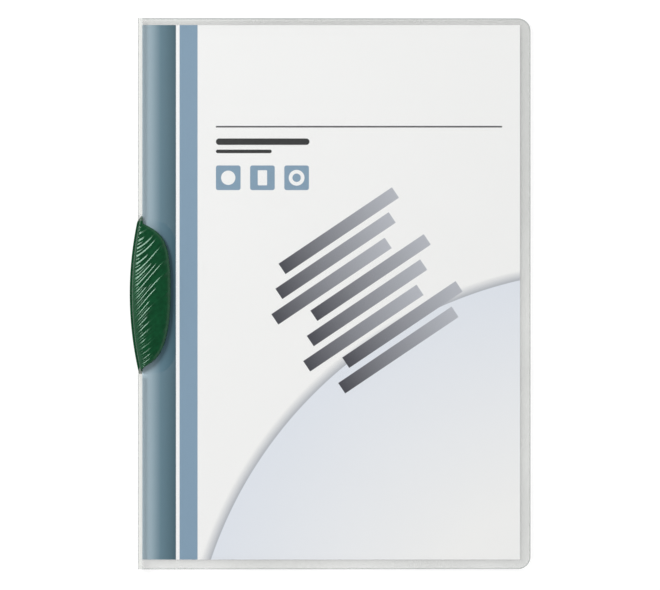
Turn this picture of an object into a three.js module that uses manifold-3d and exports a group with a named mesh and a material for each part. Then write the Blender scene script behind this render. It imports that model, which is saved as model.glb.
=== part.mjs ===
// A4 clip folder, lying on its back: a clear plastic cover folded round a narrow spine, one printed
// sheet inside it, and a moulded clip that grips the sheets at the spine and turns out on a rivet.
// Millimetres, +Z up, +Y towards the top of the page, the spine on the -X side.

import * as THREE from 'three';
import * as BufferGeometryUtils from 'three/addons/utils/BufferGeometryUtils.js';
import Module from 'manifold-3d';

const wasm = await Module();
wasm.setup();

// Printed sheet, A4, and the margins of cover that show round it
const sheetWidth = 210;
const sheetHeight = 297;
const sheetThickness = 0.2;
const spineMargin = 2.2;
const freeMargin = 5.8;
const topMargin = 3.7;
const bottomMargin = 5.3;

// Cover, one folded plastic sheet
const coverThickness = 0.4;
const coverCornerRadius = 7;
const paperStackHeight = 3.5;
const creaseGap = 0.3;

// Clip
const clipLength = 86;
const clipBow = 4.8;
const clipReach = 18.1;
const clipWall = 1.4;
const clipFlange = 1.5;
const clipShoulder = 1.3;
const clipCrownRise = 2.7;
const clipCrownFullness = 2.4;
const clipTipWidth = 0.9;
const clipLipStep = 0.1;
const topTipLength = 4.1;
const topTipReach = 2.9;
const bottomTipLength = 2.7;
const bottomTipReach = 2.3;
const webEndInset = 9;
const webEndRun = 3;

// Moulded ridges on the face of the clip
const ridgeCount = 27;
const ridgeHeight = 0.3;
const ridgeSkew = 0.22;
const ridgeWander = 0.35;
const ridgeBorder = 1.6;
const ridgeStartWidth = 2;
const ridgeFullWidth = 6;

// Base plate of the clip, behind the back cover
const plateThickness = 1.4;
const plateEdgeRound = 0.3;
const plateTailRadius = 12;
const plateTailBeyondClip = 18;
const plateInnerBowRadius = 150;

// Pivot rivet
const rivetFromSpine = 5;
const rivetFromTip = 5;
const rivetShankRadius = 1.5;
const rivetHeadRadius = 2.4;
const rivetHeadThickness = 0.35;
const rivetShankPlay = 0.1;
const rivetHeadPlay = 0.05;

// Die-cut window that clears the clip in the front cover and spine, and the notch in the back cover
const windowTipOverlap = 2.5;
const windowEndClearance = 1.4;
const windowSideClearance = 2.5;
const windowCornerRadius = 12;
const notchDepth = 2;
const notchRun = 5;

// Running gaps between stacked pieces
const plateGap = 0.3;
const sheetGap = 0.1;
const lipGap = 0.3;

// Levels above the table
const backCoverBottom = plateThickness + plateGap;
const backCoverTop = backCoverBottom + coverThickness;
const rivetTop = backCoverTop + rivetHeadPlay + rivetHeadThickness;
const sheetBottom = rivetTop + sheetGap;
const sheetTop = sheetBottom + sheetThickness;
const lipLevel = sheetTop + lipGap;
const coverLipLevel = sheetTop + lipGap;
const spineTop = backCoverTop + paperStackHeight + coverThickness;
const webFootLevel = plateThickness - plateEdgeRound;

// Places in the plane of the page, with x = 0 on the spine's outer face and y = 0 mid-height
const coverWidth = spineMargin + sheetWidth + freeMargin;
const coverHeight = bottomMargin + sheetHeight + topMargin;
const clipTipY = clipLength / 2;
const windowTopY = clipTipY - windowTipOverlap;
const windowBottomY = -clipTipY - windowEndClearance;
const windowDepth = clipReach + windowSideClearance;
const pivot = new THREE.Vector2(rivetFromSpine, clipTipY - rivetFromTip);

// The front cover leans from the top of the spine down to the sheet at its free edge.
const coverLean = Math.asin((spineTop - coverThickness - coverLipLevel) / coverWidth);

// The clip's outer bow is an arc through both tips on the spine line.
const bowRadius = (clipTipY ** 2 + clipBow ** 2) / (2 * clipBow);
const bowCentre = new THREE.Vector2(bowRadius - clipBow, 0);

function filmMaterial() {
  return new THREE.MeshStandardMaterial({
    color: 0xdfe2e0, roughness: 0.25, metalness: 0, transparent: true, opacity: 0.35,
  });
}

function paperMaterial() {
  return new THREE.MeshStandardMaterial({ color: 0xeff1f0, roughness: 0.6, metalness: 0 });
}

function clipMaterial() {
  return new THREE.MeshStandardMaterial({ color: 0x1b5232, roughness: 0.22, metalness: 0 });
}

function toSolid(geometry) {
  const bare = geometry.clone();
  bare.deleteAttribute('normal');
  bare.deleteAttribute('uv');
  const merged = BufferGeometryUtils.mergeVertices(bare, 1e-5);
  return new wasm.Manifold(new wasm.Mesh({
    numProp: 3,
    vertProperties: new Float32Array(merged.attributes.position.array),
    triVerts: new Uint32Array(merged.index.array),
  }));
}

function toGeometry(solid) {
  const mesh = solid.getMesh();
  const geometry = new THREE.BufferGeometry();
  geometry.setAttribute('position', new THREE.BufferAttribute(mesh.vertProperties, 3));
  geometry.setIndex(new THREE.BufferAttribute(mesh.triVerts, 1));
  geometry.computeVertexNormals();
  return geometry;
}

function extrudeUp(shape, bottom, height, options = {}) {
  const geometry = new THREE.ExtrudeGeometry(shape, {
    depth: height, bevelEnabled: false, curveSegments: 10, ...options,
  });
  geometry.translate(0, 0, bottom);
  return geometry;
}

function uprightCylinder(radius, bottom, top, centre) {
  const geometry = new THREE.CylinderGeometry(radius, radius, top - bottom, 48);
  geometry.rotateX(Math.PI / 2);
  geometry.translate(centre.x, centre.y, (bottom + top) / 2);
  return geometry;
}

// Both covers share their outline: square at the spine, rounded at the free edge.
function traceFreeEdge(shape) {
  const right = coverWidth - coverCornerRadius;
  const high = coverHeight / 2 - coverCornerRadius;
  shape.moveTo(0, -coverHeight / 2);
  shape.lineTo(right, -coverHeight / 2);
  shape.absarc(right, -high, coverCornerRadius, -Math.PI / 2, 0, false);
  shape.lineTo(coverWidth, high);
  shape.absarc(right, high, coverCornerRadius, 0, Math.PI / 2, false);
  shape.lineTo(0, coverHeight / 2);
}

// The back cover is notched at the spine, so that the clip's web can pass it.
function backCover() {
  const shape = new THREE.Shape();
  traceFreeEdge(shape);
  shape.lineTo(0, clipTipY);
  shape.lineTo(notchDepth, clipTipY - notchRun);
  shape.lineTo(notchDepth, -clipTipY + notchRun);
  shape.lineTo(0, -clipTipY);
  shape.closePath();
  const rivetHole = new THREE.Path();
  rivetHole.absarc(pivot.x, pivot.y, rivetShankRadius + rivetShankPlay, 0, 2 * Math.PI, true);
  shape.holes.push(rivetHole);
  return extrudeUp(shape, backCoverBottom, coverThickness, { curveSegments: 24 });
}

// The front cover is cut away in a D round the clip, so that it opens while the clip stays shut.
function frontCover() {
  const shape = new THREE.Shape();
  const cornerX = windowDepth - windowCornerRadius;
  const highCornerY = windowTopY - windowCornerRadius;
  const lowCornerY = windowBottomY + windowCornerRadius;
  traceFreeEdge(shape);
  shape.lineTo(0, windowTopY);
  shape.lineTo(cornerX, windowTopY);
  shape.absarc(cornerX, highCornerY, windowCornerRadius, Math.PI / 2, 0, true);
  shape.lineTo(windowDepth, lowCornerY);
  shape.absarc(cornerX, lowCornerY, windowCornerRadius, 0, -Math.PI / 2, true);
  shape.lineTo(0, windowBottomY);
  shape.closePath();
  return extrudeUp(shape, -coverThickness, coverThickness);
}

// One run of the spine panel, above or below the window.
function spineRun(fromY, toY) {
  const bottom = backCoverTop + creaseGap;
  const top = spineTop - coverThickness - creaseGap;
  const geometry = new THREE.BoxGeometry(coverThickness, toY - fromY, top - bottom);
  geometry.translate(coverThickness / 2, (fromY + toY) / 2, (bottom + top) / 2);
  return geometry;
}

function printedSheet() {
  const geometry = new THREE.BoxGeometry(sheetWidth, sheetHeight, sheetThickness);
  geometry.translate(
    spineMargin + sheetWidth / 2,
    coverHeight / 2 - topMargin - sheetHeight / 2,
    sheetBottom + sheetThickness / 2,
  );
  return geometry;
}

// Centre of the large circle that wraps two smaller ones, bulging on the right-hand side of the
// way from the first to the second.
function wrappingCentre(first, firstRadius, second, secondRadius, radius) {
  const a = radius - firstRadius;
  const b = radius - secondRadius;
  const apart = first.distanceTo(second);
  const along = (a * a - b * b + apart * apart) / (2 * apart);
  const off = Math.sqrt(a * a - along * along);
  const onward = second.clone().sub(first).divideScalar(apart);
  const leftward = new THREE.Vector2(-onward.y, onward.x);
  return first.clone().addScaledVector(onward, along).addScaledVector(leftward, off);
}

function angleFrom(centre, point) {
  return Math.atan2(point.y - centre.y, point.x - centre.x);
}

// The base plate is a long oval: a round head about the rivet, the clip's bow on the spine side, a
// round tail below the clip, and a flatter bow on the inner side.
function basePlateShape() {
  const headRadius = bowRadius - pivot.distanceTo(bowCentre);
  const tailY = -clipTipY - plateTailBeyondClip + plateTailRadius;
  const tailFromBowCentre = Math.sqrt((bowRadius - plateTailRadius) ** 2 - tailY ** 2);
  const tail = new THREE.Vector2(bowCentre.x - tailFromBowCentre, tailY);
  const innerCentre = wrappingCentre(
    tail, plateTailRadius, pivot, headRadius, plateInnerBowRadius,
  );
  const stops = [
    [bowCentre, bowRadius, pivot, tail],
    [tail, plateTailRadius, bowCentre, innerCentre],
    [innerCentre, plateInnerBowRadius, tail, pivot],
    [pivot, headRadius, innerCentre, bowCentre],
  ];
  const shape = new THREE.Shape();
  for (const [centre, radius, from, to] of stops) {
    const small = centre === tail || centre === pivot;
    const start = small ? angleFrom(from, centre) : angleFrom(centre, from);
    const end = small ? angleFrom(to, centre) : angleFrom(centre, to);
    shape.absarc(centre.x, centre.y, radius - plateEdgeRound, start, end, false);
  }
  return shape;
}

function basePlate() {
  const slab = toSolid(extrudeUp(
    basePlateShape(), plateEdgeRound, plateThickness - 2 * plateEdgeRound,
    {
      bevelEnabled: true, bevelThickness: plateEdgeRound, bevelSize: plateEdgeRound,
      bevelSegments: 2, curveSegments: 16,
    },
  ));
  const counterboreTop = rivetHeadThickness + 2 * rivetHeadPlay;
  const shankHole = uprightCylinder(
    rivetShankRadius + rivetShankPlay, -1, plateThickness + 1, pivot,
  );
  const counterbore = uprightCylinder(
    rivetHeadRadius + rivetShankPlay, -1, counterboreTop, pivot,
  );
  return slab.subtract(toSolid(shankHole)).subtract(toSolid(counterbore));
}

// Outer edge of the grip on the spine side, by its share of the way from the top tip to the bottom.
function gripSpineEdge(share) {
  const radius = bowRadius - clipFlange;
  const y = clipTipY * (1 - 2 * share);
  return new THREE.Vector2(bowCentre.x - Math.sqrt(radius ** 2 - y ** 2), y);
}

// Free edge of the grip, a blunt D between two narrow tips, from the top tip to the bottom.
function gripFreeEdge() {
  const top = gripSpineEdge(0);
  const bottom = gripSpineEdge(1);
  const at = (x, fromTop) => new THREE.Vector2(x, clipTipY - fromTop);
  const up = (x, fromBottom) => new THREE.Vector2(x, -clipTipY + fromBottom);
  const topRoot = at(topTipReach, topTipLength);
  const middle = at(clipReach, clipLength / 2);
  const bottomRoot = up(bottomTipReach, bottomTipLength);
  const edge = new THREE.CurvePath();
  edge.add(new THREE.LineCurve(at(top.x + clipTipWidth, 0), topRoot));
  edge.add(new THREE.CubicBezierCurve(
    topRoot, at(0.8 * clipReach, 0.11 * clipLength), at(1.02 * clipReach, 0.165 * clipLength),
    middle,
  ));
  edge.add(new THREE.CubicBezierCurve(
    middle, up(clipReach, 0.235 * clipLength), up(0.77 * clipReach, 0.055 * clipLength),
    bottomRoot,
  ));
  edge.add(new THREE.LineCurve(bottomRoot, up(bottom.x + clipTipWidth, 0)));
  return edge;
}

function smoothStep(from, to, value) {
  const t = Math.min(1, Math.max(0, (value - from) / (to - from)));
  return t * t * (3 - 2 * t);
}

// Height of the moulded ridges over the face. They follow the rows of the grip, with uneven depth.
function ridgeAt(row, across, fade) {
  const depth = 0.68 + 0.32 * Math.sin(2.4 * Math.floor(row * ridgeCount) + 5 * across);
  return fade * ridgeHeight * depth * Math.sin(2 * Math.PI * ridgeCount * row);
}

// One closed section of the grip, from its spine edge to its free edge: an arched shell whose lip
// rests over the sheets and whose outer foot runs down to the base plate past the notch. Rows lean,
// so that their free end lies higher up the page than their spine end.
function gripSection(row, freeEdge) {
  const outerPoints = 14;
  const innerPoints = 6;
  const lean = ridgeSkew * row ** 0.8 * (1 - row ** 4);
  const start = gripSpineEdge(row + lean);
  const end = freeEdge.getPoint(row - lean);
  const width = end.x - start.x;
  const fullWidth = clipReach + clipBow - clipFlange;
  const rise = clipCrownRise * Math.sqrt(width / fullWidth);
  const wall = Math.min(clipWall, width / 3) / width;
  const fromTip = clipTipY - Math.abs(start.y);
  const footDrop = smoothStep(webEndInset, webEndInset + webEndRun, fromTip);
  const footLevel = THREE.MathUtils.lerp(lipLevel, webFootLevel, footDrop);
  const arch = (v) => (
    Math.max(0, 1 - Math.abs(2 * v - 1) ** clipCrownFullness) ** (1 / clipCrownFullness)
  );
  const place = (v, z) => new THREE.Vector3(
    THREE.MathUtils.lerp(start.x, end.x, v), THREE.MathUtils.lerp(start.y, end.y, v), z,
  );
  const section = [place(0, footLevel)];
  for (let k = 0; k <= outerPoints; k++) {
    const v = (1 - Math.cos(Math.PI * k / outerPoints)) / 2;
    const border = Math.min(v, 1 - v) * width;
    const fade = smoothStep(0, 2 * ridgeBorder, border) * smoothStep(ridgeStartWidth, ridgeFullWidth, width);
    const point = place(v, lipLevel + clipShoulder + rise * arch(v) + ridgeAt(row, v, fade));
    point.y += fade * ridgeWander * Math.sin(27 * row + 5 * v);
    section.push(point);
  }
  section.push(place(1, lipLevel), place(1 - wall, lipLevel));
  const innerRise = clipShoulder + rise - clipWall;
  for (let k = innerPoints; k >= 0; k--) {
    const u = (1 - Math.cos(Math.PI * k / innerPoints)) / 2;
    section.push(place(wall + (1 - 2 * wall) * u, lipLevel + clipLipStep + innerRise * arch(u)));
  }
  section.push(place(wall, footLevel));
  return section;
}

// Skins closed sections of equal count one after the other, and closes both ends.
function loft(sections) {
  const count = sections[0].length;
  const corners = [];
  const triangle = (...points) => points.forEach((p) => corners.push(p.x, p.y, p.z));
  for (let i = 0; i + 1 < sections.length; i++) {
    for (let j = 0; j < count; j++) {
      const next = (j + 1) % count;
      triangle(sections[i][j], sections[i + 1][j], sections[i][next]);
      triangle(sections[i][next], sections[i + 1][j], sections[i + 1][next]);
    }
  }
  const cap = (section, forwards) => {
    const outline = section.map((p) => new THREE.Vector2(p.x, p.z));
    const turnsLeft = !THREE.ShapeUtils.isClockWise(outline);
    for (const corner of THREE.ShapeUtils.triangulateShape(outline, [])) {
      const sameTurn = !THREE.ShapeUtils.isClockWise(corner.map((k) => outline[k])) === turnsLeft;
      const [a, b, c] = sameTurn === forwards ? corner : [...corner].reverse();
      triangle(section[a], section[b], section[c]);
    }
  };
  cap(sections[0], true);
  cap(sections[sections.length - 1], false);
  const geometry = new THREE.BufferGeometry();
  geometry.setAttribute('position', new THREE.Float32BufferAttribute(corners, 3));
  geometry.computeVertexNormals();
  return geometry;
}

function clip() {
  const rowsPerRidge = 4;
  const rows = ridgeCount * rowsPerRidge;
  const freeEdge = gripFreeEdge();
  const sections = [];
  for (let i = 0; i <= rows; i++) {
    sections.push(gripSection(i / rows, freeEdge));
  }
  return toGeometry(basePlate().add(toSolid(loft(sections))));
}

// A turned spool: one head flush in the base plate, one inside the back cover.
function pivotRivet() {
  const low = rivetHeadPlay;
  const lowHeadTop = low + rivetHeadThickness;
  const highHeadBottom = backCoverTop + rivetHeadPlay;
  const rim = rivetHeadThickness / 3;
  const profile = [
    [0, low], [rivetHeadRadius - rim, low], [rivetHeadRadius, low + rim],
    [rivetHeadRadius, lowHeadTop], [rivetShankRadius, lowHeadTop],
    [rivetShankRadius, highHeadBottom], [rivetHeadRadius, highHeadBottom],
    [rivetHeadRadius, rivetTop - rim], [rivetHeadRadius - rim, rivetTop], [0, rivetTop],
  ].map(([radius, height]) => new THREE.Vector2(radius, height));
  const geometry = new THREE.LatheGeometry(profile, 48);
  geometry.rotateX(Math.PI / 2);
  return geometry;
}

function piece(name, geometry, material) {
  const mesh = new THREE.Mesh(geometry, material);
  mesh.name = name;
  return mesh;
}

// The origin is under the middle of the whole folder, clip bow included.
const folder = new THREE.Group();
folder.position.x = -(coverWidth - clipBow) / 2;

folder.add(piece('back_cover', backCover(), filmMaterial()));
folder.add(piece('spine_upper', spineRun(windowTopY, coverHeight / 2), filmMaterial()));
folder.add(piece('spine_lower', spineRun(-coverHeight / 2, windowBottomY), filmMaterial()));

const front = piece('front_cover', frontCover(), filmMaterial());
front.position.z = spineTop;
front.rotation.y = coverLean;
folder.add(front);

folder.add(piece('insert_sheet', printedSheet(), paperMaterial()));
folder.add(piece('clip', clip(), clipMaterial()));

const rivet = piece('pivot_rivet', pivotRivet(), clipMaterial());
rivet.position.set(pivot.x, pivot.y, 0);
folder.add(rivet);

export default folder;
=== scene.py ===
"""Looks of an A4 clip folder: film covers with soft creases, a printed sheet and a ridged clip.

Laid out as a Blender add-on and run as a script. A user sets lengths in Blender's own unit. The
code works in millimetres, and turns them into metres where a mesh or a material is made. The fixed
frame gives every place.
"""
from bisect import bisect_right
import math
from types import SimpleNamespace

import bmesh
import bpy
from bpy.props import FloatProperty, FloatVectorProperty, IntProperty, PointerProperty
from mathutils import Matrix, Vector
from mathutils.geometry import interpolate_bezier


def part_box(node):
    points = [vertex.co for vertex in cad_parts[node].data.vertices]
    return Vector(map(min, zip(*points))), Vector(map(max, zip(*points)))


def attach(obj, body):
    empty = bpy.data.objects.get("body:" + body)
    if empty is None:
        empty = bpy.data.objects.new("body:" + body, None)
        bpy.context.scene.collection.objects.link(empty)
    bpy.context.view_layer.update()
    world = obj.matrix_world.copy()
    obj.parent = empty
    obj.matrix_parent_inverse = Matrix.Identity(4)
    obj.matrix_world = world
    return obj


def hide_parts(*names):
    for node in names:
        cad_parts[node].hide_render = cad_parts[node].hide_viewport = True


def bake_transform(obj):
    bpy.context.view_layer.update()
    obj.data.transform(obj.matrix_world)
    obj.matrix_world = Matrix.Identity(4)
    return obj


bl_info = {
    "name": "Clip folder",
    "version": (1, 0, 0),
    "blender": (4, 5, 0),
    "location": "View3D > Sidebar > Folder",
    "description": "Dresses an A4 clip folder in film, printed paper and moulded plastic",
    "category": "Object",
}

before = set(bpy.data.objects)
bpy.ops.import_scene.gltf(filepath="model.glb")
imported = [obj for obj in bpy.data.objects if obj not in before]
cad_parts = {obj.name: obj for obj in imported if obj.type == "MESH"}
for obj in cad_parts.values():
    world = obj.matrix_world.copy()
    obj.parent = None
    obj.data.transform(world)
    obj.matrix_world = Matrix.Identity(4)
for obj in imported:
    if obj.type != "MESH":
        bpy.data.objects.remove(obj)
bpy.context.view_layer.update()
MM = 0.001
NOISE_LOW, NOISE_HIGH = 0.3, 0.7  # most of a noise's values lie between these two
PRINT_EDGE = 0.12  # half the width over which an edge of ink fades, in millimetres


def linear(code):
    """Scene colour of an sRGB hex code."""
    parts = [int(code[k:k + 2], 16) / 255 for k in (0, 2, 4)]
    return tuple(c / 12.92 if c <= 0.04045 else ((c + 0.055) / 1.055) ** 2.4 for c in parts)


def colour(name, description, code):
    """A colour that a user may change, given as an sRGB hex code."""
    return FloatVectorProperty(
        name=name, description=description, default=linear(code), size=3, min=0, max=1,
        subtype="COLOR",
    )


def length(name, description, size):
    """A length that a user may change, given in millimetres."""
    return FloatProperty(
        name=name, description=description, default=size * MM, min=0, precision=5, unit="LENGTH",
    )


def fraction(name, description, size):
    """A share from 0 to 1 that a user may change."""
    return FloatProperty(
        name=name, description=description, default=size, min=0, max=1, subtype="FACTOR",
    )


def strength(name, description, size):
    """Strength of a light that a user may change."""
    return FloatProperty(name=name, description=description, default=size, min=0)


def fields(group):
    """Settings in a group, without the two entries that Blender adds."""
    return [
        prop for prop in group.bl_rna.properties if prop.identifier not in ("rna_type", "name")
    ]


def settings_of(group_name):
    """Values of a group of settings, with its lengths in millimetres."""
    group = getattr(bpy.context.scene, group_name)
    values = SimpleNamespace()
    for prop in fields(group):
        value = getattr(group, prop.identifier)
        if prop.subtype == "COLOR":
            value = tuple(value)
        elif prop.unit == "LENGTH":
            value /= MM
        setattr(values, prop.identifier, value)
    return values


def corners_mm(node):
    """Lowest and highest corner of a CAD node, in millimetres."""
    low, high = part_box(node)
    return low / MM, high / MM


class FolderCover(bpy.types.PropertyGroup):
    """Finish of the two films and of the creases between them."""

    clear_tint: colour("Clear film", "Tint of the clear front film", "E4E8E6")
    # The frosted film's grey tint and haze are partly its own frosting and partly painted shade:
    # they darken the margins as the shade under the folder does.
    frosted_tint: colour("Frosted film", "Tint of the frosted back film", "C3C5C0")
    clear_cover: fraction("Clear haze", "Light that a face of the front film stops", 0.02)
    clear_rim: fraction("Clear rim", "The same, along its cut edges", 0.5)
    clear_crease: fraction("Clear crease", "The same, along the spine crease", 0.6)
    clear_roughness: fraction("Clear roughness", "Roughness of the polished front film", 0.12)
    clear_grain: length("Clear grain", "Grain of the front film's haze", 1.2)
    frosted_cover: fraction("Frosted haze", "Light that a face of the back film stops", 0.29)
    frosted_rim: fraction("Frosted rim", "The same, along its cut edges", 0.42)
    frosted_crease: fraction("Frosted crease", "The same, along the spine crease", 0.4)
    frosted_roughness: fraction("Frosted roughness", "Roughness of the matt back film", 0.38)
    frosted_grain: length("Frosted grain", "Grain of the back film's haze", 0.8)
    rim_tint: colour("Cut edge", "Grey of the films' cut edges", "C0C5C2")
    wave: length("Film wave", "Length of the slow waves that the film takes when it lies", 70.0)
    corner: length("Corner", "Radius of the covers' free corners", 7.0)
    rim: length("Rim", "Width of the denser line along the cut edges", 0.55)
    # Crease white: partly film whitened where folding stretched it, partly a painted highlight
    # along the fold.
    crease_white_and_highlight: colour("Crease", "White of the stretched film beside the spine", "FDFEFB")
    crease_start: length("Crease start", "From the spine to the whitened line", 0.35)
    crease_end: length("Crease end", "From the spine to that line's far side", 2.45)
    window_margin: length("Window margin", "Film left clear past the clip's window", 3.2)
    crease_steps: IntProperty(
        name="Crease steps", description="Strips across one crease", default=8, min=2,
    )


class FolderPrint(bpy.types.PropertyGroup):
    """Layout and inks of the printed sheet, measured from its top left corner."""

    paper: colour("Paper", "Bare paper", "FAFAF9")
    stripe: colour("Stripe", "White stripe between the bands", "FFFFFF")
    shade_light: colour("Shaded band, light", "Light side of the shaded band", "BDD1DC")
    shade_middle: colour("Shaded band, middle", "Middle of the shaded band", "5C7D8C")
    shade_dark: colour("Shaded band, dark", "Dark side of the shaded band", "345866")
    blue: colour("Blue", "Plain band and squares", "819EB5")
    rule: colour("Rule", "Thin rule and title bars", "0A0B0D")
    slate: colour("Slate", "Darkest bar of the figure", "34343F")
    silver: colour("Silver", "Lightest bar of the figure", "B9BCC4")
    field: colour("Field", "Pale field with the curved edge", "E6EBF3")
    field_edge: colour("Field edge", "Soft line along the curved edge", "B0B4BC")
    shaded_width: length("Shaded band", "Width of the shaded band", 18.8)
    stripe_width: length("White stripe", "Width of the stripe beside it", 2.0)
    plain_width: length("Plain band", "Width of the plain blue band", 10.0)
    text_left: length("Left of the text area", "Where squares, bars and rule start", 41.0)
    rule_down: length("Rule", "From the top of the sheet to the thin rule", 56.03)
    rule_length: length("Rule length", "Length of the thin rule", 159.0)
    rule_weight: length("Rule weight", "Thickness of the thin rule", 0.9)
    square: length("Square", "Side of one square", 13.7)
    square_down: length("Squares", "From the top of the sheet to the squares", 78.0)
    square_pitch: length("Square pitch", "From one square to the next", 19.0)
    bar_width: length("Figure bar", "Width of one slanted bar", 7.0)
    bar_pitch: length("Figure pitch", "From one slanted bar to the next", 10.5)


class FolderClip(bpy.types.PropertyGroup):
    """Sizes and finish of the moulded clip."""

    green: colour("Green", "Dark green of the moulding", "0E4829")
    gloss_tint: colour("Gloss", "Tint of the reflections on the moulding", "DCFFEC")
    clip_length: length("Length", "Grip, tip to tip", 86.0)
    bow: length("Bow", "How far the clip stands past the spine", 4.8)
    reach: length("Reach", "How far the grip reaches over the sheets", 18.1)
    wall: length("Wall", "Wall of the grip", 1.4)
    flange: length("Flange", "Strip of base plate outside the grip", 1.5)
    lip_gap: length("Lip gap", "From the sheet to the lip of the grip", 0.3)
    shoulder: length("Shoulder", "Height of the grip's upright side", 1.3)
    crown: length("Crown", "Rise of the arch over its sides", 2.7)
    fullness: FloatProperty(
        name="Fullness", description="2 makes the arch an ellipse, more squares it", default=2.4,
        min=1,
    )
    tip_width: length("Tip width", "Width of the grip at its very tips", 0.9)
    top_tip_length: length("Top tip length", "Narrow part at the top", 4.1)
    top_tip_reach: length("Top tip reach", "Its width from the spine", 2.9)
    bottom_tip_length: length("Bottom tip length", "Narrow part at the bottom", 2.7)
    bottom_tip_reach: length("Bottom tip reach", "Its width from the spine", 2.3)
    foot_inset: length("Foot inset", "From a tip to where the side goes down to the plate", 9.0)
    foot_run: length("Foot run", "Length over which it goes down", 3.0)
    skew: FloatProperty(
        name="Skew", description="Lean of the ridges as a share of the length", default=0.22,
        min=0, max=0.4,
    )
    ridges: IntProperty(name="Ridges", description="Main ridges on the grip", default=27, min=3)
    ridge: length("Ridge", "Height of the main ridges", 0.23)
    fine_ridge: length("Fine ridge", "Height of the ridges between them", 0.17)
    valley: length("Valley", "How far the valleys lie below the smooth borders", 0.05)
    spine_border: length("Border at the spine", "Smooth strip before the ridges", 0.5)
    free_border: length("Border at the free edge", "Smooth strip after the ridges", 1.4)
    plate: length("Plate", "Thickness of the base plate", 1.4)
    plate_round: length("Plate edge", "Rounding of the plate's edges", 0.3)
    plate_tail: length("Plate tail", "Radius of the plate's lower end", 12.0)
    plate_beyond: length("Plate beyond", "How far the plate goes below the grip", 18.0)
    plate_inner: length("Plate inner bow", "Radius of the plate's inner side", 150.0)
    shank: length("Rivet hole", "Radius of the hole for the rivet", 1.6)
    head: length("Rivet recess", "Radius of the recess for the rivet's head", 2.5)
    head_depth: length("Recess depth", "Depth of that recess", 0.45)


class FolderStage(bpy.types.PropertyGroup):
    """Camera and light."""

    picture_width: IntProperty(
        name="Picture width", description="Width of the picture in pixels", default=660,
    )
    pixel: length("Pixel", "What one pixel covers on the sheet", 0.5557)
    camera_height: length("Camera height", "Camera above the sheet", 2200.0)
    aim_y: length("Aim", "How far below the folder's middle the picture is centred", 0.7)
    key_power: FloatProperty(
        name="Key lamp", description="Power of the lamp at the upper left", default=62.0, min=0,
        unit="POWER",
    )
    key_side: length("Lamp side", "Side of the square key lamp", 1200.0)
    tent: strength("Tent", "Strength of the light tent's walls", 0.92)
    opening: fraction("Opening", "Strength of the tent's top, as a share of its walls", 0.15)
    skirt: fraction("Skirt", "Strength of the walls at the floor, as a share of the rest", 0.35)
    floor_reach: length("Floor", "From the middle of the floor to its edges", 6000.0)
    floor_grey: fraction("Floor grey", "Light that the floor gives back", 0.38)
    floor_lift: strength("Floor lift", "Light that the floor adds for the eye", 0.75)


def add_node(tree, kind, inputs=(), **options):
    """Adds a node: inputs maps a socket's name or place to a value or to an output."""
    node = tree.nodes.new("ShaderNode" + kind)
    for name, value in options.items():
        setattr(node, name, value)
    for socket, value in dict(inputs).items():
        if isinstance(value, bpy.types.NodeSocket):
            tree.links.new(value, node.inputs[socket])
        elif hasattr(value, "__len__") and node.inputs[socket].type == "RGBA":
            node.inputs[socket].default_value = (*value, 1)
        else:
            node.inputs[socket].default_value = value
    return node


def new_material(name):
    """An empty node material and its tree, with the shader already on the output."""
    material = bpy.data.materials.new(name)
    material.use_nodes = True
    tree = material.node_tree
    tree.nodes.clear()
    shader = add_node(tree, "BsdfPrincipled")
    output = add_node(tree, "OutputMaterial")
    tree.links.new(shader.outputs["BSDF"], output.inputs["Surface"])
    return material, tree, shader


def place_mm(tree):
    """Position on the piece in millimetres, as a vector output."""
    where = add_node(tree, "TexCoord")
    scaled = add_node(
        tree, "VectorMath", {0: where.outputs["Object"], "Scale": 1 / MM}, operation="SCALE",
    )
    return scaled.outputs["Vector"]


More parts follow.
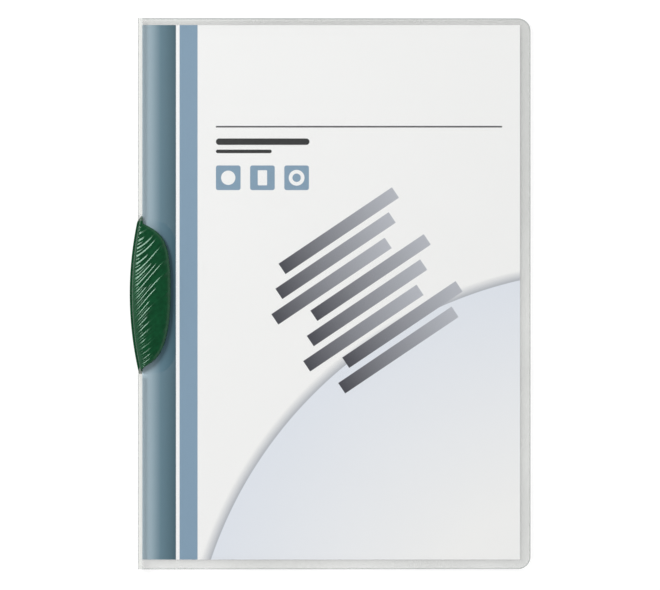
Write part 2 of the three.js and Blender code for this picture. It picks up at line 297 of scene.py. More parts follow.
def film_material(kind, node):
    """Polypropylene film, extruded between rollers that are polished for clear film and matt for
    frosted film: it has a slow wave and a fine haze. The frosted film's grey is partly its own and
    partly painted shade, which darkens the margins. Both films are made a little denser towards the
    top right, which paints shade there. The cut edges look grey. Beside the spine crease the film
    is whitened, partly where folding stretched it and partly as a painted highlight along the fold,
    but not at the clip's window."""
    settings = settings_of("folder_cover")
    tint, cover, rim_cover, crease_cover, roughness, grain = (
        getattr(settings, f"{kind}_{part}")
        for part in ("tint", "cover", "rim", "crease", "roughness", "grain")
    )
    wave_depth = 40.0  # of the slow wave, where the haze has 1
    relief_height, relief_strength = 0.02, 0.1
    roughness_change, painted_shade_change = 0.15, 0.22
    slant_step = -0.0014  # what a millimetre up or to the right adds to the wave
    thick, thin = 0.2, 0.8  # values of the wave where the film is made densest and thinnest, painting shade darkest and lightest
    past_spine = 20.0  # there the spine side has no cut edge
    soft_side, soft_end = 0.25, 0.4  # of the whitened line
    window_share = 0.1  # of the whitening that is left beside the clip's window
    low, high = corners_mm(node)
    spine_x = corners_mm("spine_upper")[0].x
    material, tree, shader = new_material(f"{kind}_polypropylene_film")
    place = place_mm(tree)
    parts = add_node(tree, "SeparateXYZ", {0: place})
    across, up = parts.outputs["X"], parts.outputs["Y"]
    wave = add_node(tree, "TexNoise", {"Vector": place, "Scale": 1 / settings.wave, "Detail": 1})
    haze = add_node(tree, "TexNoise", {"Vector": place, "Scale": 1 / grain, "Detail": 2})
    both = add_node(
        tree, "Math", {0: wave.outputs["Fac"], 1: wave_depth, 2: haze.outputs["Fac"]},
        operation="MULTIPLY_ADD",
    )
    bump = add_node(tree, "Bump", {
        "Height": both.outputs[0], "Strength": relief_strength, "Distance": relief_height * MM,
    })
    cloud = add_node(tree, "MapRange", {
        "Value": haze.outputs["Fac"], "From Min": NOISE_LOW, "From Max": NOISE_HIGH,
        "To Min": roughness * (1 - roughness_change), "To Max": roughness * (1 + roughness_change),
    })
    rim = settings.rim
    inside = block(
        tree, across, up, low.x - past_spine, low.y + rim, high.x - low.x + past_spine - rim,
        high.y - low.y - 2 * rim, settings.corner - rim,
    )
    # For the frosted film this cover is partly painted shade, which greys the margins.
    solid = add_node(tree, "MapRange", {"Value": inside, "To Min": rim_cover, "To Max": cover})
    slant = add_node(tree, "Math", {0: across, 1: up}, operation="ADD")
    lean = add_node(
        tree, "Math", {0: slant.outputs[0], 1: slant_step, 2: wave.outputs["Fac"]},
        operation="MULTIPLY_ADD",
    )
    # Painted shade: the film is made denser, so greyer over the floor, towards the top right.
    painted_shade_drift = add_node(tree, "MapRange", {
        "Value": lean.outputs[0], "From Min": thick, "From Max": thin,
        "To Min": 1 + painted_shade_change, "To Max": 1 - painted_shade_change,
    })
    solid = add_node(
        tree, "Math", {0: solid.outputs[0], 1: painted_shade_drift.outputs[0]}, operation="MULTIPLY",
    )
    line = within(
        tree, across, spine_x + settings.crease_start, spine_x + settings.crease_end, soft_side,
    )
    window = within(
        tree, up, corners_mm("spine_lower")[1].y,
        corners_mm("spine_upper")[0].y + settings.window_margin, soft_end,
    )
    beside = add_node(tree, "MapRange", {"Value": window, "To Min": 1.0, "To Max": window_share})
    crease = add_node(
        tree, "Math", {0: line, 1: beside.outputs[0]}, operation="MULTIPLY",
    ).outputs[0]
    # The whitened line is partly stretched film and partly a painted highlight along the crease.
    whitening_and_highlight = add_node(tree, "MapRange", {"Value": crease, "To Max": crease_cover})
    opaque = add_node(
        tree, "Math", {0: solid.outputs[0], 1: whitening_and_highlight.outputs[0]}, operation="MAXIMUM",
    )
    body = lay_over(tree, settings.rim_tint, tint, inside)
    body = lay_over(tree, body, settings.crease_white_and_highlight, crease)
    tree.links.new(body, shader.inputs["Base Color"])
    tree.links.new(opaque.outputs[0], shader.inputs["Alpha"])
    tree.links.new(bump.outputs["Normal"], shader.inputs["Normal"])
    tree.links.new(cloud.outputs["Result"], shader.inputs["Roughness"])
    shader.inputs["IOR"].default_value = 1.49
    return material


def dress(node, material):
    """Gives a CAD node its material."""
    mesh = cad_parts[node].data
    mesh.materials.clear()
    mesh.materials.append(material)


class FOLDER_OT_cover_film(bpy.types.Operator):
    """Give the front, back and spine their films"""

    bl_idname = "folder.cover_film"
    bl_label = "Cover film"

    def execute(self, context):
        dress("front_cover", film_material("clear", "front_cover"))
        frosted = film_material("frosted", "back_cover")
        for node in ("back_cover", "spine_upper", "spine_lower"):
            dress(node, frosted)
        return {"FINISHED"}


def crease_strip(name, runs, low_z, high_z, material):
    """A strip of film that bridges one crease. Runs are its stretches along the spine."""
    steps = settings_of("folder_cover").crease_steps
    spine_low, spine_high = corners_mm("spine_upper")
    mesh = bpy.data.meshes.new(name)
    build = bmesh.new()
    for from_y, to_y in runs:
        rings = []
        for step in range(steps + 1):
            z = low_z + (high_z - low_z) * step / steps
            rings.append([
                build.verts.new((x * MM, y * MM, z * MM))
                for x, y in (
                    (spine_low.x, from_y), (spine_high.x, from_y),
                    (spine_high.x, to_y), (spine_low.x, to_y),
                )
            ])
        for low, high in zip(rings, rings[1:]):
            for k in range(4):
                build.faces.new((low[k], low[k - 3], high[k - 3], high[k]))
        build.faces.new(rings[0][::-1])
        build.faces.new(rings[-1])
    bmesh.ops.recalc_face_normals(build, faces=build.faces)
    build.to_mesh(mesh)
    build.free()
    strip = bpy.data.objects.new(name, mesh)
    bpy.context.scene.collection.objects.link(strip)
    mesh.materials.append(material)
    return strip


class FOLDER_OT_creases(bpy.types.Operator):
    """Bridge the folds between the back, the spine and the front"""

    bl_idname = "folder.creases"
    bl_label = "Creases"

    def execute(self, context):
        film = bpy.data.materials["frosted_polypropylene_film"]
        runs = []
        for node in ("spine_lower", "spine_upper"):
            low, high = corners_mm(node)
            runs.append((low.y, high.y))
        back_bottom, back_top = (corner.z for corner in corners_mm("back_cover"))
        spine_bottom, spine_top = (corner.z for corner in corners_mm("spine_upper"))
        front_bottom = corners_mm("front_cover")[1].z - (back_top - back_bottom)
        back = crease_strip("back_crease", runs, back_top, spine_bottom, film)
        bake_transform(back)
        front = crease_strip("front_crease", runs, spine_top, front_bottom, film)
        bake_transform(front)
        return {"FINISHED"}


def lay_over(tree, below, above, mask):
    """Colour with another laid over it where the mask is 1."""
    mix = add_node(tree, "Mix", {"Factor": mask, 6: below, 7: above}, data_type="RGBA")
    return mix.outputs[2]


def within(tree, value, low, high, softness=PRINT_EDGE):
    """1 where a value lies between two limits, with edges as soft as print has."""
    rise = add_node(tree, "MapRange", {
        "Value": value, "From Min": low - softness, "From Max": low + softness,
    })
    fall = add_node(tree, "MapRange", {
        "Value": value, "From Min": high - softness, "From Max": high + softness,
        "To Min": 1.0, "To Max": 0.0,
    })
    both = add_node(tree, "Math", {0: rise.outputs[0], 1: fall.outputs[0]}, operation="MULTIPLY")
    return both.outputs[0]


def block(tree, across, down, left, top, width, height, corner):
    """1 inside a rectangle with rounded corners."""
    sides = []
    for value, start, size in ((across, left, width), (down, top, height)):
        off = add_node(tree, "Math", {0: value, 1: start + size / 2}, operation="SUBTRACT")
        away = add_node(tree, "Math", {0: off.outputs[0]}, operation="ABSOLUTE")
        past = add_node(
            tree, "Math", {0: away.outputs[0], 1: size / 2 - corner}, operation="SUBTRACT",
        )
        sides.append(add_node(tree, "Math", {0: past.outputs[0], 1: 0.0}, operation="MAXIMUM"))
    point = add_node(tree, "CombineXYZ", {0: sides[0].outputs[0], 1: sides[1].outputs[0]})
    distance = add_node(tree, "VectorMath", {0: point.outputs[0]}, operation="LENGTH")
    return within(tree, distance.outputs["Value"], -1.0, corner)


def disc(tree, point, centre, radius, inner=-1.0):
    """1 inside a disc, or inside a ring where an inner radius is given."""
    distance = add_node(tree, "VectorMath", {0: point, 1: (*centre, 0.0)}, operation="DISTANCE")
    return within(tree, distance.outputs["Value"], inner, radius)


def shaded_band(tree, across, settings):
    """Colour of the band that darkens towards the stripe, as light falling on a roll does."""
    middle_share = 0.55  # of the band's width, where the middle shade lies
    share = add_node(tree, "MapRange", {"Value": across, "From Max": settings.shaded_width})
    first = add_node(tree, "MapRange", {"Value": share.outputs[0], "From Max": middle_share})
    second = add_node(tree, "MapRange", {"Value": share.outputs[0], "From Min": middle_share})
    middle = lay_over(tree, settings.shade_light, settings.shade_middle, first.outputs[0])
    return lay_over(tree, middle, settings.shade_dark, second.outputs[0])


def curved_field(tree, point, below, settings):
    """A pale field in the lower right, inside a long arc with a soft grey line along it."""
    arc_centre = (262.0, 372.0)
    arc_radius = 236.0
    line_width = 5.5
    fade_width = 118.0
    distance = add_node(
        tree, "VectorMath", {0: point, 1: (*arc_centre, 0.0)}, operation="DISTANCE",
    ).outputs["Value"]
    fade = add_node(tree, "MapRange", {
        "Value": distance, "From Min": arc_radius - fade_width, "From Max": arc_radius,
    })
    field = lay_over(tree, settings.paper, settings.field, fade.outputs[0])
    line = add_node(tree, "MapRange", {
        "Value": distance, "From Min": arc_radius + line_width, "From Max": arc_radius,
    })
    edged = lay_over(tree, below, settings.field_edge, line.outputs[0])
    return lay_over(tree, edged, field, within(tree, distance, -1.0, arc_radius))


def slanted_bars(tree, across, down, below, settings):
    """A figure of plain slanted bars from slate to silver, each moved along by a sine of its
    number."""
    slant = math.radians(34)
    centre = (122.0, 150.0)
    bars = 8
    half_length = 38.0
    sway_reach, sway_turn = 11.0, 2.1
    sharp = 0.01
    along_parts = []
    for value, shift, factor in (
        (across, centre[0], math.cos(slant)), (down, centre[1], -math.sin(slant)),
        (across, centre[0], math.sin(slant)), (down, centre[1], math.cos(slant)),
    ):
        moved = add_node(tree, "Math", {0: value, 1: shift}, operation="SUBTRACT")
        along_parts.append(add_node(
            tree, "Math", {0: moved.outputs[0], 1: factor}, operation="MULTIPLY",
        ).outputs[0])
    along = add_node(tree, "Math", {0: along_parts[0], 1: along_parts[1]}, operation="ADD")
    over = add_node(tree, "Math", {0: along_parts[2], 1: along_parts[3]}, operation="ADD")
    count = add_node(
        tree, "Math", {0: over.outputs[0], 1: settings.bar_pitch}, operation="DIVIDE",
    )
    index = add_node(tree, "Math", {0: count.outputs[0]}, operation="FLOOR")
    share = add_node(tree, "Math", {0: count.outputs[0]}, operation="FRACT")
    angle = add_node(tree, "Math", {0: index.outputs[0], 1: sway_turn}, operation="MULTIPLY")
    sway = add_node(tree, "Math", {0: angle.outputs[0]}, operation="SINE")
    shifted = add_node(
        tree, "Math", {0: sway.outputs[0], 1: sway_reach, 2: along.outputs[0]},
        operation="MULTIPLY_ADD",
    )
    fill = settings.bar_width / settings.bar_pitch
    across_mask = within(
        tree, share.outputs[0], 0.5 - fill / 2, 0.5 + fill / 2, PRINT_EDGE / settings.bar_pitch,
    )
    along_mask = within(tree, shifted.outputs[0], -half_length, half_length)
    index_mask = within(tree, index.outputs[0], -bars / 2 - 0.5, bars / 2 - 0.5, sharp)
    pair = add_node(tree, "Math", {0: across_mask, 1: along_mask}, operation="MULTIPLY")
    mask = add_node(tree, "Math", {0: pair.outputs[0], 1: index_mask}, operation="MULTIPLY")
    tone = add_node(tree, "MapRange", {
        "Value": shifted.outputs[0], "From Min": -half_length, "From Max": half_length,
    })
    ink = lay_over(tree, settings.slate, settings.silver, tone.outputs[0])
    return lay_over(tree, below, ink, mask.outputs[0])


def title_and_squares(tree, across, down, point, below, settings):
    """A thin rule, two title bars and a row of blue squares with plain white figures."""
    left = settings.text_left
    title_bars = ((63.0, 52.0, 3.6), (69.2, 31.0, 2.0))  # top, width and height
    rule_corner, square_corner = 0.1, 1.3
    disc_share, ring_share, hole_share = 0.29, 0.32, 0.17  # radii, as shares of a square's side
    page_width, page_height, page_corner = 5.2, 8.4, 0.5
    rule = block(
        tree, across, down, left, settings.rule_down, settings.rule_length,
        settings.rule_weight, rule_corner,
    )
    drawn = lay_over(tree, below, settings.rule, rule)
    for top, width, height in title_bars:
        bar = block(tree, across, down, left, top, width, height, height / 2)
        drawn = lay_over(tree, drawn, settings.rule, bar)
    top = settings.square_down
    side = settings.square
    for k in range(3):
        start = left + k * settings.square_pitch
        square = block(tree, across, down, start, top, side, side, square_corner)
        drawn = lay_over(tree, drawn, settings.blue, square)
        centre = (start + side / 2, top + side / 2)
        if k == 0:
            figure = disc(tree, point, centre, side * disc_share)
        elif k == 1:
            figure = block(
                tree, across, down, centre[0] - page_width / 2, centre[1] - page_height / 2,
                page_width, page_height, page_corner,
            )
        else:
            figure = disc(tree, point, centre, side * ring_share, side * hole_share)
        drawn = lay_over(tree, drawn, settings.paper, figure)
    return drawn


def printed_paper():
    """Coated paper, offset printed: smooth and pale, with a faint fibre and a soft sheen."""
    settings = settings_of("folder_print")
    fibre_length, fibre_height, fibre_strength = 0.4, 0.03, 0.2
    low, high = corners_mm("insert_sheet")
    material, tree, shader = new_material("offset_printed_paper")
    place = place_mm(tree)
    parts = add_node(tree, "SeparateXYZ", {0: place})
    across = add_node(tree, "Math", {0: parts.outputs["X"], 1: low.x}, operation="SUBTRACT")
    down = add_node(tree, "Math", {0: high.y, 1: parts.outputs["Y"]}, operation="SUBTRACT")
    across, down = across.outputs[0], down.outputs[0]
    point = add_node(tree, "CombineXYZ", {0: across, 1: down}).outputs[0]

    stripe_left = settings.shaded_width
    plain_left = stripe_left + settings.stripe_width
    plain_right = plain_left + settings.plain_width
    drawn = curved_field(tree, point, settings.paper, settings)
    drawn = slanted_bars(tree, across, down, drawn, settings)
    drawn = title_and_squares(tree, across, down, point, drawn, settings)
    drawn = lay_over(tree, drawn, settings.blue, within(tree, across, -1.0, plain_right))
    drawn = lay_over(tree, drawn, settings.stripe, within(tree, across, -1.0, plain_left))
    band = shaded_band(tree, across, settings)
    drawn = lay_over(tree, drawn, band, within(tree, across, -1.0, stripe_left))
    tree.links.new(drawn, shader.inputs["Base Color"])

    fibre = add_node(
        tree, "TexNoise", {"Vector": place, "Scale": 1 / fibre_length, "Detail": 3},
    )
    bump = add_node(tree, "Bump", {
        "Height": fibre.outputs["Fac"], "Strength": fibre_strength,
        "Distance": fibre_height * MM,
    })
    tree.links.new(bump.outputs["Normal"], shader.inputs["Normal"])
    shader.inputs["Roughness"].default_value = 0.6
    shader.inputs["IOR"].default_value = 1.5
    return material


class FOLDER_OT_printed_sheet(bpy.types.Operator):
    """Print the sheet"""

    bl_idname = "folder.printed_sheet"
    bl_label = "Printed sheet"

    def execute(self, context):
        dress("insert_sheet", printed_paper())
        return {"FINISHED"}


def smooth_step(low, high, value):
    """Eased way from 0 to 1 between two limits."""
    share = min(1.0, max(0.0, (value - low) / (high - low)))
    return share * share * (3 - 2 * share)


def bow_arc(settings):
    """Radius of the clip's outer bow, and its centre on the page. On the page x is 0 on the
    spine's outer face and y is 0 at mid-height."""
    tip = settings.clip_length / 2
    radius = (tip ** 2 + settings.bow ** 2) / (2 * settings.bow)
    return radius, Vector((radius - settings.bow, 0.0))


def spine_edge(settings, share):
    """Point on the grip's spine side, by its share of the way from the top tip down."""
    radius, centre = bow_arc(settings)
    y = settings.clip_length * (0.5 - share)
    return Vector((centre.x - math.sqrt((radius - settings.flange) ** 2 - y * y), y))


def free_edge(settings):
    """Grip's free edge, a blunt D between two narrow tips: shares of its length, and points."""
    tip, reach, whole = settings.clip_length / 2, settings.reach, settings.clip_length
    top_handles = ((0.8, 0.11), (1.02, 0.165))  # shares of the reach, and of the length from a tip
    bottom_handles = ((1.0, 0.235), (0.77, 0.055))
    curve_points = 200
    narrow = Vector((settings.tip_width, 0.0))
    top_root = Vector((settings.top_tip_reach, tip - settings.top_tip_length))
    middle = Vector((reach, 0.0))
    bottom_root = Vector((settings.bottom_tip_reach, settings.bottom_tip_length - tip))
    points = [spine_edge(settings, 0) + narrow]
    points += interpolate_bezier(
        top_root, *[(out * reach, tip - down * whole) for out, down in top_handles], middle,
        curve_points,
    )
    points += interpolate_bezier(
        middle, *[(out * reach, up * whole - tip) for out, up in bottom_handles], bottom_root,
        curve_points,
    )[1:]
    points.append(spine_edge(settings, 1) + narrow)
    run = [0.0]
    for a, b in zip(points, points[1:]):
        run.append(run[-1] + (b - a).length)
    return [r / run[-1] for r in run], points


def point_at(edge, share):
    """Point on an edge by its share of the length."""
    shares, points = edge
    k = min(bisect_right(shares, share), len(points) - 1)
    part = (share - shares[k - 1]) / (shares[k] - shares[k - 1])
    return points[k - 1].lerp(points[k], part)


def varied(line, turn, start=0):
    """Number from 0 to 1 that differs from ridge to ridge, by a sine of the ridge's number."""
    return 0.5 + 0.5 * math.sin(turn * line + start)


def ridge_crest(settings, line, row, across):
    """Height of one ridge's crest. Each is deep for its own stretch from the spine side, and the
    lower part of the free side is calm. Rows and ways across are shares of the grip."""
    shallow, fading, deepening, calming = 0.8, 0.08, 0.3, 0.65
    reach = 0.3 + 0.6 * varied(line, 2.4, 1) + 0.3 * (1 - row) ** 2
    stretch = 1 - shallow * smooth_step(reach - fading, reach + fading, across)
    calm = smooth_step(0.35, 0.6, across) * smooth_step(0.45, 0.65, row)
    deeper = 1 + deepening * smooth_step(0.25, 0.6, across)
    return settings.ridge * stretch * deeper * (1 - calming * calm)


def ridge_spread(settings, row, across):
    """How far apart the rows lie at a place, as a share of their mean distance. The tilt follows
    the rows' lean from row to row."""
    first_row, closest = 0.02, 0.4
    tilt = settings.skew * (0.8 * max(row, first_row) ** -0.2 - 4.8 * row ** 3.8)
    return max(closest, 1 + tilt * (1 - 2 * across))


def ridge_height(settings, row, across):
    """Height of the moulded ridges over the face, laid like feathers: a narrow flank towards the
    top of the page, wider at the spine, and a long one down from the crest. Near the spine a
    finer ridge breaks the long flank."""
    fine_crest, fine_start = 0.62, 0.4  # shares of the long flank
    turn = settings.ridges * row + 0.3 * math.sin(11 * row + 4 * across)
    line = math.floor(turn)
    off = turn - line
    flank = 0.27 + 0.25 * (1 - smooth_step(0.04, 0.2, across))
    if off < 1 - flank:
        share = off / (1 - flank)
        height = ridge_crest(settings, line, row, across) * (1 - share)
        fine_reach = 0.35 * varied(line, 1.7)
        near = 1 - smooth_step(0.15 + fine_reach, 0.27 + fine_reach, across)
        side = 1 - fine_crest if share > fine_crest else fine_crest - fine_start
        rise = max(0.0, 1 - abs(share - fine_crest) / side)
        return height + settings.fine_ridge * near * rise
    share = (off - 1 + flank) / flank
    return ridge_crest(settings, line + 1, row, across) * share


def grip_ring(settings, edge, row):
    """One closed section of the grip, from its spine side over the arch to its free edge and back
    under it. Rows lean, so that their free end lies higher up the page."""
    outer_points, inner_points = 48, 12
    inner_lip = 0.1  # how far over the lip the hollow starts
    plain_width, ridged_width = 1, 4  # the ridges fade out as the grip narrows to its tips
    lean = settings.skew * row ** 0.8 * (1 - row ** 4)
    start = spine_edge(settings, row + lean)
    end = point_at(edge, row - lean)
    width = end.x - start.x
    full = settings.reach + settings.bow - settings.flange
    rise = settings.crown * math.sqrt(width / full)
    wall = min(settings.wall, width / 3) / width
    lip = corners_mm("insert_sheet")[1].z + settings.lip_gap
    from_tip = settings.clip_length / 2 - abs(start.y)
    drop = smooth_step(settings.foot_inset, settings.foot_inset + settings.foot_run, from_tip)
    foot = lip + (settings.plate - settings.plate_round - lip) * drop

    def arch(share):
        squared = max(0.0, 1 - abs(2 * share - 1) ** settings.fullness)
        return squared ** (1 / settings.fullness)

    def place(share, z):
        flat = start.lerp(end, share)
        return Vector((flat.x, flat.y, z))

    ring = [place(0, foot)]
    for k in range(outer_points + 1):
        share = (1 - math.cos(math.pi * k / outer_points)) / 2
        fade = smooth_step(0, 2 * settings.spine_border, share * width)
        fade *= smooth_step(0, 2 * settings.free_border, (1 - share) * width)
        fade *= smooth_step(plain_width, ridged_width, width)
        lift = ridge_height(settings, row, share) * ridge_spread(settings, row, share)
        lift = fade * (lift - settings.valley)
        ring.append(place(share, lip + settings.shoulder + rise * arch(share) + lift))
    ring += [place(1, lip), place(1 - wall, lip)]
    inner_rise = settings.shoulder + rise - settings.wall
    for k in range(inner_points, -1, -1):
        share = (1 - math.cos(math.pi * k / inner_points)) / 2
        across = wall + (1 - 2 * wall) * share
        ring.append(place(across, lip + inner_lip + inner_rise * arch(share)))
    ring.append(place(wall, foot))
    return ring


def wrapping_centre(first, first_radius, second, second_radius, radius):
    """Centre of the large circle that wraps two smaller ones, on the left of the way from the
    first to the second."""
    a = radius - first_radius
    b = radius - second_radius
    apart = (second - first).length
    along = (a * a - b * b + apart * apart) / (2 * apart)
    off = math.sqrt(a * a - along * along)
    onward = (second - first) / apart
    return first + onward * along + Vector((-onward.y, onward.x)) * off


def plate_outline(settings, pivot, inset):
    """Outline of the base plate: a round head about the rivet, the clip's bow, a round tail and a
    flatter inner bow."""
    radius, bow_centre = bow_arc(settings)
    head = radius - (pivot - bow_centre).length
    tail_radius = settings.plate_tail
    tail_y = tail_radius - settings.clip_length / 2 - settings.plate_beyond
    tail_off = math.sqrt((radius - tail_radius) ** 2 - tail_y ** 2)
    tail = Vector((bow_centre.x - tail_off, tail_y))
    inner = wrapping_centre(tail, tail_radius, pivot, head, settings.plate_inner)
    outline = []
    for centre, size, start, stop, steps in (
        (bow_centre, radius, pivot - bow_centre, tail - bow_centre, 60),
        (tail, tail_radius, tail - bow_centre, tail - inner, 30),
        (inner, settings.plate_inner, tail - inner, pivot - inner, 60),
        (pivot, head, pivot - inner, pivot - bow_centre, 20),
    ):
        first = math.atan2(start.y, start.x)
        turn = (math.atan2(stop.y, stop.x) - first) % (2 * math.pi)
        for k in range(steps):
            angle = first + turn * k / steps
            way = Vector((math.cos(angle), math.sin(angle)))
            outline.append(centre + way * (size - inset))
    return outline


def loft(name, rings):
    """Object from closed rings of equal count, in millimetres on the page, with its ends shut."""
    build = bmesh.new()
    rows = [[build.verts.new(point) for point in ring] for ring in rings]
    for low, high in zip(rows, rows[1:]):
        for k in range(len(low)):
            build.faces.new((low[k - 1], low[k], high[k], high[k - 1]))
    ends = [build.faces.new(rows[0][::-1]), build.faces.new(rows[-1])]
    bmesh.ops.triangulate(build, faces=ends)
    bmesh.ops.recalc_face_normals(build, faces=build.faces)
    mesh = bpy.data.meshes.new(name)
    build.to_mesh(mesh)
    build.free()
    piece = bpy.data.objects.new(name, mesh)
    bpy.context.scene.collection.objects.link(piece)
    return piece


def upright_drum(radius, low, high, centre):
    """Upright cylinder to cut a round hole with."""
    sides = 48
    turns = [2 * math.pi * k / sides for k in range(sides)]
    return loft("drum", [
        [
            Vector((centre.x + radius * math.cos(turn), centre.y + radius * math.sin(turn), z))
            for turn in turns
        ]
        for z in (low, high)
    ])


def combine(base, other, operation):
    """Joins another solid to the base or cuts it out of it."""
    step = base.modifiers.new("combine", "BOOLEAN")
    step.solver = "EXACT"
    step.operation = operation
    step.object = other
    result = base.evaluated_get(bpy.context.evaluated_depsgraph_get())
    mesh = bpy.data.meshes.new_from_object(result)
    base.modifiers.clear()
    base.data = mesh
    bpy.data.objects.remove(other)


def base_plate(settings, pivot):
    """Flat plate behind the cover, with rounded edges, the rivet's hole and its recess."""
    round_steps = 4
    past = 1  # how far a drum stands past a face that it cuts
    thick, edge = settings.plate, settings.plate_round
    levels = []
    for k in range(round_steps + 1):
        angle = math.pi / 2 * k / round_steps
        levels.append((edge * (1 - math.sin(angle)), edge * (1 - math.cos(angle))))
    levels += [(inset, thick - z) for inset, z in reversed(levels)]
    plate = loft("clip_moulding", [
        [Vector((point.x, point.y, z)) for point in plate_outline(settings, pivot, inset)]
        for inset, z in levels
    ])
    combine(plate, upright_drum(settings.shank, -past, thick + past, pivot), "DIFFERENCE")
    combine(plate, upright_drum(settings.head, -past, settings.head_depth, pivot), "DIFFERENCE")
    return plate


def moulded_plastic():
    """ABS, injection moulded in a polished tool: deep colour under a glossy skin with pale green
    reflections, and the faint waviness that cooling leaves."""
    settings = settings_of("folder_clip")
    flow_per_mm, flow_height, flow_strength = 0.35, 0.06, 0.05
    dark_share, light_share = 0.8, 1.15
    material, tree, shader = new_material("gloss_moulded_abs")
    place = place_mm(tree)
    flow = add_node(tree, "TexNoise", {"Vector": place, "Scale": flow_per_mm, "Detail": 2})
    bump = add_node(tree, "Bump", {
        "Height": flow.outputs["Fac"], "Strength": flow_strength, "Distance": flow_height * MM,
    })
    shade = add_node(tree, "MapRange", {
        "Value": flow.outputs["Fac"], "From Min": NOISE_LOW, "From Max": NOISE_HIGH,
        "To Min": dark_share, "To Max": light_share,
    })
    tint = add_node(
        tree, "VectorMath", {0: settings.green, "Scale": shade.outputs["Result"]},
        operation="SCALE",
    )
    tree.links.new(tint.outputs["Vector"], shader.inputs["Base Color"])
    tree.links.new(bump.outputs["Normal"], shader.inputs["Normal"])
    shader.inputs["Roughness"].default_value = 0.2
    shader.inputs["IOR"].default_value = 1.5
    shader.inputs["Specular Tint"].default_value = (*settings.gloss_tint, 1)
    return material


class FOLDER_OT_clip(bpy.types.Operator):
    """Mould the ridged clip and finish its rivet"""

    bl_idname = "folder.clip"
    bl_label = "Clip"

    def execute(self, context):
        settings = settings_of("folder_clip")
        rows_per_ridge = 20
        sharp_angle = math.radians(60)
        plastic = moulded_plastic()
        spine_x = corners_mm("spine_upper")[0].x
        rivet_low, rivet_high = corners_mm("pivot_rivet")
        pivot = ((rivet_low + rivet_high) / 2).xy - Vector((spine_x, 0.0))
        edge = free_edge(settings)
        rows = settings.ridges * rows_per_ridge
        grip = loft("grip", [grip_ring(settings, edge, k / rows) for k in range(rows + 1)])
        clip = base_plate(settings, pivot)
        combine(clip, grip, "UNION")
        mesh = clip.data
        mesh.transform(Matrix.Scale(MM, 4) @ Matrix.Translation((spine_x, 0, 0)))
        mesh.shade_smooth()
        mesh.set_sharp_from_angle(angle=sharp_angle)
        mesh.materials.clear()
        mesh.materials.append(plastic)
        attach(clip, "clip_body")
        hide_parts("clip")
        dress("clip", plastic)
        dress("pivot_rivet", plastic)
        return {"FINISHED"}


def white_floor(settings):
    """Plain pale floor: it takes shadows, and shows as white to the eye, in gloss and through
    film."""
    material, tree, shader = new_material("pale_floor")
    shader.inputs["Base Color"].default_value = (*[settings.floor_grey] * 3, 1)
    shader.inputs["Roughness"].default_value = 0.9
    path = add_node(tree, "LightPath")
    seen = add_node(
        tree, "Math", {0: path.outputs["Is Camera Ray"], 1: path.outputs["Is Glossy Ray"]},
        operation="MAXIMUM",
    )
    seen = add_node(
        tree, "Math", {0: seen.outputs[0], 1: path.outputs["Is Transmission Ray"]},
        operation="MAXIMUM",
    )
    lift = add_node(
        tree, "Math", {0: seen.outputs[0], 1: settings.floor_lift}, operation="MULTIPLY",
    )
    shader.inputs["Emission Color"].default_value = (1, 1, 1, 1)
    tree.links.new(lift.outputs[0], shader.inputs["Emission Strength"])
    return material


def light_tent(settings):
    """World like a light tent: pale walls all round, dimmer at the floor, and a dim opening
    overhead."""
    skirt_end, top_start, top_end = 0.4, 0.6, 0.9  # heights on a round tent with a radius of 1
    world = bpy.data.worlds.new("light_tent")
    world.use_nodes = True
    tree = world.node_tree
    way = add_node(tree, "TexCoord").outputs["Generated"]
    parts = add_node(tree, "SeparateXYZ", {0: way})
    top = add_node(tree, "MapRange", {
        "Value": parts.outputs["Z"], "From Min": top_start, "From Max": top_end,
        "To Min": settings.tent, "To Max": settings.tent * settings.opening,
    }, interpolation_type="SMOOTHSTEP")
    skirt = add_node(tree, "MapRange", {
        "Value": parts.outputs["Z"], "From Max": skirt_end, "To Min": settings.skirt,
    }, interpolation_type="SMOOTHSTEP")
    light = add_node(
        tree, "Math", {0: top.outputs["Result"], 1: skirt.outputs["Result"]}, operation="MULTIPLY",
    )
    wall = tree.nodes["Background"]
    wall.inputs["Color"].default_value = (1, 1, 1, 1)
    tree.links.new(light.outputs[0], wall.inputs["Strength"])
    return world


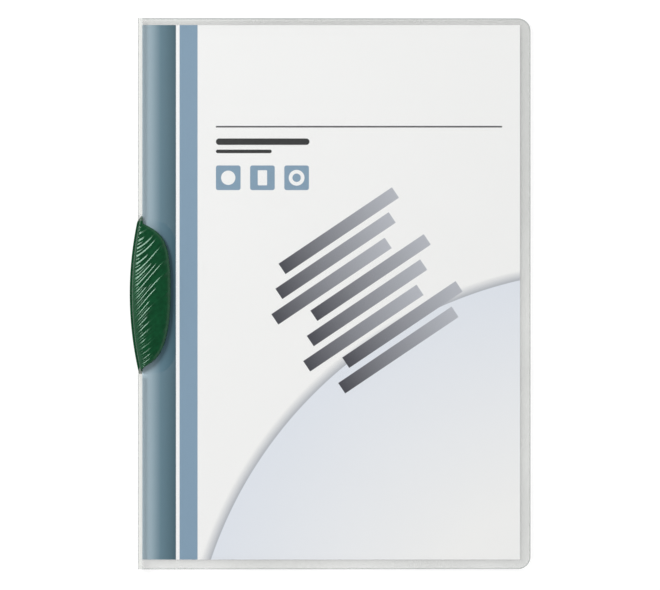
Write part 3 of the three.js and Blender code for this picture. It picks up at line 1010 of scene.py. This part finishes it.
class FOLDER_OT_stage(bpy.types.Operator):
    """Set the floor, the lamp, the light tent and the camera"""

    bl_idname = "folder.stage"
    bl_label = "Stage"

    def execute(self, context):
        settings = settings_of("folder_stage")
        under_plate = -0.1
        lamp_place = (-1980.0, 1450.0, 2100.0)
        scene = context.scene
        scene.view_settings.view_transform = "Standard"
        link = scene.collection.objects.link

        mesh = bpy.data.meshes.new("floor")
        side = settings.floor_reach * MM
        low = under_plate * MM
        mesh.from_pydata(
            [(-side, -side, low), (side, -side, low), (side, side, low), (-side, side, low)],
            [], [(0, 1, 2, 3)],
        )
        mesh.materials.append(white_floor(settings))
        floor = bpy.data.objects.new("floor", mesh)
        link(floor)

        scene.world = light_tent(settings)

        key = bpy.data.lights.new("key_lamp", "AREA")
        key.shape = "SQUARE"
        key.size = settings.key_side * MM
        key.energy = settings.key_power
        key_lamp = bpy.data.objects.new("key_lamp", key)
        key_lamp.location = Vector(lamp_place) * MM
        key_lamp.rotation_euler = (-key_lamp.location).to_track_quat("-Z", "Y").to_euler()
        link(key_lamp)

        camera = bpy.data.cameras.new("camera")
        camera.sensor_width = 36.0
        width = settings.picture_width * settings.pixel
        camera.lens = camera.sensor_width * settings.camera_height / width
        camera.clip_end = 20.0
        sheet_top = corners_mm("insert_sheet")[1].z
        camera_object = bpy.data.objects.new("camera", camera)
        camera_object.location = Vector(
            (0.0, -settings.aim_y, sheet_top + settings.camera_height),
        ) * MM
        link(camera_object)
        scene.camera = camera_object
        return {"FINISHED"}


class FOLDER_PT_panel(bpy.types.Panel):
    """Lists the folder's makers and their sizes"""

    bl_idname = "FOLDER_PT_panel"
    bl_label = "Clip folder"
    bl_space_type = "VIEW_3D"
    bl_region_type = "UI"
    bl_category = "Folder"

    def draw(self, context):
        for operator in OPERATORS:
            self.layout.operator(operator.bl_idname)
        for name in SETTINGS:
            group = getattr(context.scene, name)
            box = self.layout.box()
            for prop in fields(group):
                box.prop(group, prop.identifier)


SETTINGS = {
    "folder_cover": FolderCover,
    "folder_print": FolderPrint,
    "folder_clip": FolderClip,
    "folder_stage": FolderStage,
}
OPERATORS = (
    FOLDER_OT_cover_film,
    FOLDER_OT_creases,
    FOLDER_OT_printed_sheet,
    FOLDER_OT_clip,
    FOLDER_OT_stage,
)


def register():
    """Adds the settings, the operators and the panel."""
    for group in SETTINGS.values():
        bpy.utils.register_class(group)
    for name, group in SETTINGS.items():
        setattr(bpy.types.Scene, name, PointerProperty(type=group))
    for operator in OPERATORS:
        bpy.utils.register_class(operator)
    bpy.utils.register_class(FOLDER_PT_panel)


def unregister():
    """Takes them away again, the other way round."""
    bpy.utils.unregister_class(FOLDER_PT_panel)
    for operator in reversed(OPERATORS):
        bpy.utils.unregister_class(operator)
    for name in SETTINGS:
        delattr(bpy.types.Scene, name)
    for group in SETTINGS.values():
        bpy.utils.unregister_class(group)


def main():
    """Makes every piece and the stage."""
    register()
    bpy.ops.folder.cover_film()
    bpy.ops.folder.creases()
    bpy.ops.folder.printed_sheet()
    bpy.ops.folder.clip()
    bpy.ops.folder.stage()


if __name__ == "__main__":
    main()
